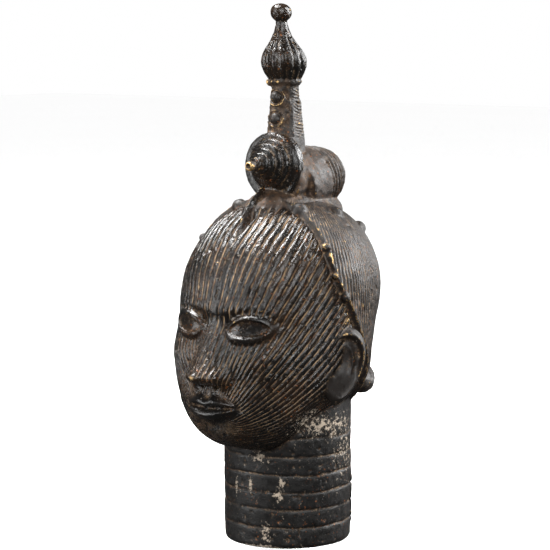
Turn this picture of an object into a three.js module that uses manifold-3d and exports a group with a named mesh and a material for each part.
// A cast bronze head with a hair cap, a tall crest and a ringed neck.
// Millimetres, +Z up. The face looks along -Y, and the origin is the centre of the neck's foot.

import * as THREE from "three";
import { mergeVertices } from "three/addons/utils/BufferGeometryUtils.js";
import Module from "manifold-3d";

// Driving dimensions
const TOTAL_HEIGHT = 350;
const NECK_RADIUS = 42.2;
const NECK_TAPER = 0.6;
const FOOT_ROUND = 2.2;
const CHIN_LEVEL = 68;
const CROWN_LEVEL = 222;
const HALF_WIDTH = 60;

// The head is measured from one point inside it, in steps of angle from straight up to straight down.
const HEART = new THREE.Vector3(0, -12, 145);
const RADII_STEP = Math.PI / 12;
const RADII = {
  front: [77, 75, 71.5, 68.5, 66, 64.5, 65, 69, 76.5, 87, 88.5, 82, 77],
  side: [77, 77, 75, 71.4, 66.8, 62, 59.7, 61, 64, 66.5, 69.5, 74, 77],
  back: [77, 79.5, 82.5, 83.5, 80.5, 74.5, 62, 56, 60, 62, 60, 68, 76],
};
const CROWN_POWER = 2.1;
const JAW_POWER = 2.45;
const HEAD_COLUMNS = 50;
const HEAD_ROWS = 40;
const FACE_CROWDING = 0.62;
const LEVEL_CROWDING = 0.58;
const LEVEL_SHIFT = 0.26;

// The face follows the thirds of a drawing manual, between the chin and the hairline.
const FACE_THIRD = 44;
const NOSE_BASE = CHIN_LEVEL + FACE_THIRD;
const BROW_LEVEL = NOSE_BASE + FACE_THIRD;
const EYE_LEVEL = (CHIN_LEVEL + CROWN_LEVEL) / 2 + 2;
const MOUTH_LEVEL = NOSE_BASE - FACE_THIRD / 3;
const EYE_WIDTH = (2 * HALF_WIDTH) / 5;
const EYE_PLACE = EYE_WIDTH + 0.5;
const NOSE_TIP = NOSE_BASE + 6;
const NOSE_HEIGHT = 15.5;
const MOUTH_HALF = 19.5;

// Soft swellings and hollows of the face: how far out, where, how wide and how tall.
const FACE_FORMS = [
  { name: "socket", out: -6.2, x: EYE_PLACE - 1, z: EYE_LEVEL + 1, wide: 14, tall: 9 },
  { name: "inner corner", out: -2.4, x: 11, z: EYE_LEVEL + 2, wide: 5, tall: 7 },
  { name: "nose root", out: -1.8, x: 0, z: EYE_LEVEL + 3, wide: 9, tall: 6 },
  { name: "cheekbone", out: 2.2, x: 34, z: NOSE_BASE + 18, wide: 14, tall: 11 },
  { name: "nose tip", out: 2.6, x: 0, z: NOSE_TIP, wide: 6.5, tall: 5.5 },
  { name: "nose wing", out: 8.6, x: 10.2, z: NOSE_BASE + 4, wide: 4.4, tall: 5 },
  { name: "nostril", out: -4.5, x: 5.6, z: NOSE_BASE - 0.4, wide: 2.6, tall: 2.4 },
  { name: "furrow", out: -0.9, x: 0, z: NOSE_BASE - 4, wide: 2.8, tall: 4.5 },
  { name: "muzzle", out: 4, x: 0, z: MOUTH_LEVEL, wide: 25, tall: 15 },
  { name: "fold under the lip", out: -2.4, x: 0, z: MOUTH_LEVEL - 12.5, wide: 14, tall: 4.5 },
  { name: "chin", out: 4, x: 0, z: CHIN_LEVEL + 9, wide: 15, tall: 8.5 },
];
const FACE_EDGE = { full: -42, none: -20 };

const EYE = {
  ball: { half: new THREE.Vector3(11.5, 9.5, 7), y: -62 },
  lids: { half: new THREE.Vector3(15, 8, 9.5), y: -62 },
  turn: 0.32,
};
const EYE_COLUMNS = 12;
const EYE_ROWS = 7;

// Hair cap: the hairline is a list of [y, z], seen from the side, from the crown to the nape.
const CAP_THICKNESS = 3;
const CAP_COLUMNS = 36;
const CAP_ROWS = 22;
const FAR = 130;
const HAIRLINE = [
  [-19, 240],
  [-23, 210],
  [-26, 190],
  [-24, 174],
  [-15, 160],
  [-4, 142],
  [8, 124],
  [16, 100],
];

// Crest, spire and its two round bosses
const MOUND = { centre: new THREE.Vector3(0, 5, 213), half: new THREE.Vector3(24, 47, 21) };
const KEEL = {
  centre: new THREE.Vector3(0, -44, 208.5),
  half: new THREE.Vector3(2.4, 21, 4),
  slope: 0.7,
};
const STALK_Y = -2;
const STALK_SIDES = 16;
const ONION_SIDES = 32;
const KNOB_SIDES = 12;
const KNOB_HALF = new THREE.Vector3(6.6, 6.6, 5.8);
const FLUTES = 16;
const FLUTE_DEPTH = 0.55;
const FINIAL_LEAN = 5.2;
const LEAN_START = 290;
const BOSS = { y: -15, z: 246, radius: 21.2, length: 24, rings: 8, backing: 10 };
const DOME = { y: 21, z: 235, radius: 22, length: 31, rings: 5, backing: 20, tilt: 0.16 };
const BOSS_SIDES = 16;
const RING_DEPTH = 1.1;

// Studs: [level, radius] on the stalk, [x, y] on the cap, and [y, level, radius] on its edge.
const STALK_STUDS = [
  [290, 3.9],
  [276, 4.1],
];
const CAP_STUDS = [
  [25, -19],
  [32, 11],
  [30, 39],
];
const CAP_STUD_RADIUS = 5.2;
const STALK_FRONT = 9.6;
const STUD_ROWS = 5;
const EDGE_BEADS = [
  [-25, 197, 2.9],
  [-25.6, 180, 2.1],
  [-19.5, 166, 3],
];

// Neck, ears and the roll at the nape
const NECK_GROOVES = 6;
const GROOVE_PITCH = 11.75;
const FIRST_GROOVE = 13;
const GROOVE_DEPTH = 1.1;
const GROOVE_HALF = 1.3;
const NECK_SIDES = 26;
const EAR = { place: new THREE.Vector3(57, -17, 121), half: new THREE.Vector3(8, 14, 25) };
const EAR_COLUMNS = 16;
const EAR_ROWS = 11;
const EAR_LEAN = -0.24;
const EAR_SPLAY = -0.6;
const ROLL = { reach: 49, level: 104, thick: 11, tall: 11, spread: 1.2 };

const bell = (distance, width) => Math.exp(-((distance / width) ** 2));
const rise = (low, high, value) => THREE.MathUtils.smoothstep(value, low, high);

// Moves every point of a geometry by a rule.
function shaped(geometry, rule) {
  const places = geometry.attributes.position;
  const point = new THREE.Vector3();
  for (let i = 0; i < places.count; i += 1) {
    rule(point.fromBufferAttribute(places, i));
    places.setXYZ(i, point.x, point.y, point.z);
  }
  return geometry;
}

// The same geometry on the other side of the midline, with its faces turned the right way out.
function mirrored(geometry) {
  const flipped = geometry.clone().scale(-1, 1, 1);
  const order = flipped.index.array;
  for (let i = 0; i < order.length; i += 3) {
    [order[i], order[i + 1]] = [order[i + 1], order[i]];
  }
  return flipped;
}

// A unit ball with its poles on Z.
const ball = (columns, rows) => new THREE.SphereGeometry(1, columns, rows).rotateX(Math.PI / 2);

// A lathe turned about Z. Its profile is a list of [radius, height] from the foot to the top.
function turned(profile, sides) {
  const points = profile.map(([radius, height]) => new THREE.Vector2(radius, height));
  return new THREE.LatheGeometry(points, sides).rotateX(Math.PI / 2);
}

// The head's radius along one profile, at an angle from straight up.
function radiusAt(radii, angle) {
  const step = angle / RADII_STEP;
  const i = Math.min(Math.floor(step), radii.length - 2);
  const t = step - i;
  const before = radii[Math.max(i - 1, 0)];
  const after = radii[Math.min(i + 2, radii.length - 1)];
  const slopeIn = (radii[i + 1] - before) / 2;
  const slopeOut = (after - radii[i]) / 2;
  return (
    radii[i] * (2 * t ** 3 - 3 * t ** 2 + 1) +
    slopeIn * (t ** 3 - 2 * t ** 2 + t) +
    radii[i + 1] * (3 * t ** 2 - 2 * t ** 3) +
    slopeOut * (t ** 3 - t ** 2)
  );
}

// The brow ridge, which drops towards the temple.
function browRelief(x, z) {
  const level = BROW_LEVEL + 1.5 - 0.004 * (x - EYE_PLACE) ** 2;
  return 2.4 * bell(z - level, 4.6) * (1 - rise(36, 47, x));
}

// The ridge of the nose, from its root down to the tip and round under it.
function noseRelief(x, z) {
  const root = BROW_LEVEL - 4;
  const down = THREE.MathUtils.clamp((root - z) / (root - NOSE_TIP), 0, 1);
  const under = Math.sqrt(Math.max(0, 1 - (Math.max(0, NOSE_TIP - z) / 6.5) ** 2));
  const across = Math.exp(-((x / (5.2 + 3.4 * down)) ** 2.6));
  return NOSE_HEIGHT * down ** 1.3 * under * across;
}

// The two lips and the line between them.
function lipRelief(x, z) {
  const width = Math.max(0, 1 - (x / MOUTH_HALF) ** 2) ** 0.6;
  const upper = 3.8 * width * bell(z - MOUTH_LEVEL - 4.4, 3.6);
  const lower = 4.6 * width * bell(z - MOUTH_LEVEL + 5, 4.2);
  const parting = -2.8 * bell(z - MOUTH_LEVEL, 1.5) * (1 - rise(17, 22, x));
  return upper + lower + parting;
}

// How far the whole face stands in front of the plain head, at x from the midline.
function faceRelief(x, z) {
  let total = browRelief(x, z) + noseRelief(x, z) + lipRelief(x, z);
  for (const form of FACE_FORMS) {
    total += form.out * bell(x - form.x, form.wide) * bell(z - form.z, form.tall);
  }
  return total;
}

// Crowds the columns of a ball towards the front, and its rows towards the level of the face.
const crowded = (turn) => turn - FACE_CROWDING * Math.sin(turn);
const levelled = (polar) =>
  polar + (LEVEL_CROWDING / 2) * (Math.sin(2 * (polar - LEVEL_SHIFT)) + Math.sin(2 * LEVEL_SHIFT));

// A point of the plain skull, grown outward by a thickness. The azimuth is 0 at the front.
function skullPoint(point, azimuth, polar, thickness) {
  const depth = radiusAt(Math.abs(azimuth) < Math.PI / 2 ? RADII.front : RADII.back, polar);
  const width = radiusAt(RADII.side, polar);
  const power = THREE.MathUtils.lerp(CROWN_POWER, JAW_POWER, rise(1.4, 2.1, polar));
  const radius =
    (Math.abs(Math.cos(azimuth) / depth) ** power + Math.abs(Math.sin(azimuth) / width) ** power) **
    (-1 / power);
  point.set(
    Math.sin(polar) * Math.sin(azimuth),
    -Math.sin(polar) * Math.cos(azimuth),
    Math.cos(polar),
  );
  point.multiplyScalar(radius + thickness).add(HEART);
}

// The skull with the face pushed forward from it.
function headPoint(point) {
  const polar = levelled(Math.acos(THREE.MathUtils.clamp(point.z, -1, 1)));
  const azimuth = crowded(Math.atan2(point.x, -point.y));
  skullPoint(point, azimuth, polar, 0);
  const x = Math.abs(point.x);
  const facing = 1 - rise(FACE_EDGE.full, FACE_EDGE.none, point.y);
  point.y -= facing * faceRelief(x, point.z);
}

// A geometry as a closed solid that can be joined and cut.
const wasm = await Module();
wasm.setup();
function solid(geometry) {
  const bare = geometry.index ? geometry.toNonIndexed() : geometry.clone();
  bare.deleteAttribute("normal");
  bare.deleteAttribute("uv");
  const merged = mergeVertices(bare, 1e-4);
  const corners = merged.index.array;
  const kept = [];
  for (let i = 0; i < corners.length; i += 3) {
    const [a, b, c] = corners.slice(i, i + 3);
    if (a !== b && b !== c && c !== a) kept.push(a, b, c);
  }
  return new wasm.Manifold(
    new wasm.Mesh({
      numProp: 3,
      vertProperties: merged.attributes.position.array,
      triVerts: new Uint32Array(kept),
    }),
  );
}

function ellipsoid({ centre, half }, columns, rows) {
  return ball(columns, rows).scale(half.x, half.y, half.z).translate(centre.x, centre.y, centre.z);
}

const head = () => solid(shaped(ball(HEAD_COLUMNS, HEAD_ROWS), headPoint));

// One eye: a ball between two lids, which are one wider and flatter almond behind it.
function eye(side) {
  const made = [EYE.ball, EYE.lids].map(({ half, y }) => {
    const round = ball(EYE_COLUMNS, EYE_ROWS).scale(half.x, half.y, half.z);
    return solid(round.rotateZ(side * EYE.turn).translate(side * EYE_PLACE, y, EYE_LEVEL));
  });
  return made[0].add(made[1]);
}

// The hair cap is the skull grown outward, with everything in front of the hairline cut away.
function hairCap() {
  const line = new THREE.SplineCurve(HAIRLINE.map(([y, z]) => new THREE.Vector2(y, z)));
  const front = new THREE.Shape([
    ...line.getPoints(10),
    new THREE.Vector2(HAIRLINE.at(-1)[0], CHIN_LEVEL - 10),
    new THREE.Vector2(-FAR, CHIN_LEVEL - 10),
    new THREE.Vector2(-FAR, HAIRLINE[0][1]),
  ]);
  const window = new THREE.ExtrudeGeometry(front, { depth: 2 * FAR, bevelEnabled: false });
  shaped(window, (p) => p.set(p.z - FAR, p.x, p.y));
  const grown = shaped(ball(CAP_COLUMNS, CAP_ROWS), (p) => {
    const polar = Math.acos(THREE.MathUtils.clamp(p.z, -1, 1));
    skullPoint(p, Math.atan2(p.x, -p.y), polar, CAP_THICKNESS);
  });
  return solid(grown).subtract(solid(window));
}

// The place on the cap's outside above (x, y), found by stepping the angle from straight up.
function capTop(x, y) {
  const point = new THREE.Vector3();
  const azimuth = Math.atan2(x, HEART.y - y);
  const away = Math.hypot(x, y - HEART.y);
  for (let polar = 0.05; polar < 1.5; polar += 0.01) {
    skullPoint(point, azimuth, polar, CAP_THICKNESS);
    if (Math.hypot(point.x, point.y - HEART.y) >= away) break;
  }
  return point;
}

// The place on the cap's outside beside (y, z), found by stepping round from the back.
function capSide(y, z) {
  const point = new THREE.Vector3();
  for (let azimuth = 3; azimuth > 0.3; azimuth -= 0.01) {
    let low = 0.1;
    let high = 2.6;
    for (let i = 0; i < 20; i += 1) {
      const polar = (low + high) / 2;
      skullPoint(point, azimuth, polar, CAP_THICKNESS);
      if (point.z > z) low = polar;
      else high = polar;
    }
    if (point.y <= y) break;
  }
  return point;
}

// Everything above the stalk leans forward a little.
const leaned = (p) => {
  p.y += STALK_Y - (FINIAL_LEAN * Math.max(0, p.z - LEAN_START)) / (TOTAL_HEIGHT - LEAN_START);
};

// The stalk tapers from the crest up to the collar under the onion.
function stalk() {
  const profile = [
    [0, 205],
    [17, 205],
    [15, 226],
    [13, 250],
    [12, 266],
    [10.8, 276],
    [9.9, 287.5],
    [8.8, 289],
    [8.6, 298],
    [9.8, 299.5],
    [9.8, 301.5],
    [0, 304],
  ];
  return solid(shaped(turned(profile, STALK_SIDES), leaned));
}

// The onion has upright flutes, and its neck carries the knob.
function onion() {
  const widest = { radius: 14.9, level: 313 };
  const profile = [
    [0, 298],
    [8.8, 298.5],
    [12.9, 306],
    [widest.radius, widest.level],
    [13.8, 317.5],
    [10.8, 322.5],
    [7.8, 327],
    [5.4, 332],
    [3.9, 337.5],
    [0, 342],
  ];
  const fluted = shaped(turned(profile, ONION_SIDES), (p) => {
    const turn = Math.atan2(p.y, p.x);
    const cut = bell(p.z - widest.level, 9) * FLUTE_DEPTH * (1 - Math.cos(FLUTES * turn));
    const kept = 1 - cut / widest.radius;
    p.set(p.x * kept, p.y * kept, p.z);
    leaned(p);
  });
  return solid(fluted);
}

function knob() {
  const centre = new THREE.Vector3(0, 0, TOTAL_HEIGHT - KNOB_HALF.z);
  return solid(shaped(ellipsoid({ centre, half: KNOB_HALF }, KNOB_SIDES, 7), leaned));
}

// A round boss of stacked rings. Its profile runs from the backing to the tip, and bulge rounds it.
function ringed({ radius, length, rings, backing }, bulge) {
  const profile = [
    [0, -backing],
    [radius, -backing],
    [radius, -1.5],
  ];
  for (let i = 1; i < 2 * rings; i += 1) {
    const along = i / (2 * rings);
    const dip = i % 2 ? RING_DEPTH : 0;
    profile.push([radius * (1 - along ** bulge) ** (1 / bulge) - dip, length * along]);
  }
  return profile;
}

// The coiled cone in front of the stalk, with a small bead on its tip.
function coneBoss() {
  const profile = ringed(BOSS, 1.15);
  const bead = 2.6;
  profile.push([bead, BOSS.length], [bead, BOSS.length + 1.5], [0, BOSS.length + bead]);
  const cone = turned(profile, BOSS_SIDES).rotateX(Math.PI / 2);
  return solid(cone.translate(0, BOSS.y, BOSS.z));
}

// The ringed dome behind the stalk. It points back and a little up.
function rearDome() {
  const profile = ringed(DOME, 2);
  profile.push([0, DOME.length]);
  const dome = turned(profile, BOSS_SIDES).rotateX(DOME.tilt - Math.PI / 2);
  return solid(dome.translate(0, DOME.y, DOME.z));
}

// The thin keel that runs down the middle of the forehead from under the cone.
function keel() {
  const { half, centre, slope } = KEEL;
  const ridge = ball(8, 8).scale(half.x, half.y, half.z).rotateX(slope);
  return solid(ridge.translate(centre.x, centre.y, centre.z));
}

// A low round stud: a ball whose centre is a little under the surface at a place.
function stud(place, radius, sunk, sides) {
  const centre = place.clone().sub(HEART);
  centre.setLength(centre.length() - sunk).add(HEART);
  return ball(sides, STUD_ROWS).scale(radius, radius, radius).translate(centre.x, centre.y, centre.z);
}

function studs() {
  const beside = [
    ...CAP_STUDS.map(([x, y]) => stud(capTop(x, y), CAP_STUD_RADIUS, 2, 8)),
    ...EDGE_BEADS.map(([y, z, radius]) => stud(capSide(y, z), radius, 0.5, 6)),
  ];
  const front = STALK_STUDS.map(([z, radius]) =>
    stud(new THREE.Vector3(0, STALK_Y - STALK_FRONT, z), radius, 0, 8),
  );
  return [...beside, ...beside.map(mirrored), ...front].map(solid);
}

// The neck, with shallow grooves round it and a rounded foot edge.
function neck() {
  const profile = [
    [0, 0],
    [NECK_RADIUS - NECK_TAPER - FOOT_ROUND, 0],
    [NECK_RADIUS - NECK_TAPER, FOOT_ROUND],
  ];
  for (let i = 0; i < NECK_GROOVES; i += 1) {
    const level = FIRST_GROOVE + i * GROOVE_PITCH;
    const radius = NECK_RADIUS - NECK_TAPER * (1 - i / (NECK_GROOVES - 1));
    profile.push([radius, level - GROOVE_HALF], [radius - GROOVE_DEPTH, level]);
    profile.push([radius, level + GROOVE_HALF]);
  }
  profile.push([NECK_RADIUS, 92], [NECK_RADIUS + 1.5, 112], [0, 135]);
  return solid(turned(profile, NECK_SIDES));
}

// One ear: a leaning oval shell, wider at the top, hollowed on its outer face.
function ear(side) {
  const shell = shaped(ball(EAR_COLUMNS, EAR_ROWS), (p) => {
    const across = Math.hypot(p.y, p.z);
    const bowl = p.x > 0 ? (1 - rise(0.4, 0.85, across)) * rise(-0.8, -0.2, p.z) : 0;
    const broad = 1 + 0.2 * p.z;
    p.set(p.x - bowl, p.y * broad, p.z);
  });
  shell.scale(EAR.half.x, EAR.half.y, EAR.half.z);
  shell.rotateX(EAR_LEAN).rotateZ(EAR_SPLAY).translate(EAR.place.x, EAR.place.y, EAR.place.z);
  return solid(side > 0 ? shell : mirrored(shell));
}

// The roll under the cap at the nape: a long ball bent round the back of the neck.
function napeRoll() {
  return solid(
    shaped(ball(16, 10), (p) => {
      const turn = ROLL.spread * p.x;
      const full = (1 - p.x ** 2 + 1e-6) ** -0.2;
      const reach = ROLL.reach + ROLL.thick * p.y * full;
      p.set(reach * Math.sin(turn), reach * Math.cos(turn), ROLL.level + ROLL.tall * p.z * full);
    }),
  );
}

const pieces = [
  head(),
  eye(1),
  eye(-1),
  neck(),
  hairCap(),
  solid(ellipsoid(MOUND, 18, 11)),
  stalk(),
  onion(),
  knob(),
  coneBoss(),
  rearDome(),
  keel(),
  ear(1),
  ear(-1),
  napeRoll(),
  ...studs(),
];
const casting = pieces.reduce((whole, piece) => whole.add(piece));

function geometryOf(made) {
  const mesh = made.getMesh();
  const geometry = new THREE.BufferGeometry();
  geometry.setAttribute("position", new THREE.BufferAttribute(mesh.vertProperties, mesh.numProp));
  geometry.setIndex(new THREE.BufferAttribute(mesh.triVerts, 1));
  geometry.computeVertexNormals();
  return geometry;
}

const bronze = new THREE.MeshStandardMaterial({ color: 0x2b241d, roughness: 0.42, metalness: 0.85 });
const castHead = new THREE.Mesh(geometryOf(casting), bronze);
castHead.name = "bronze_head";

const bronzeHead = new THREE.Group();
bronzeHead.add(castHead);

export default bronzeHead;
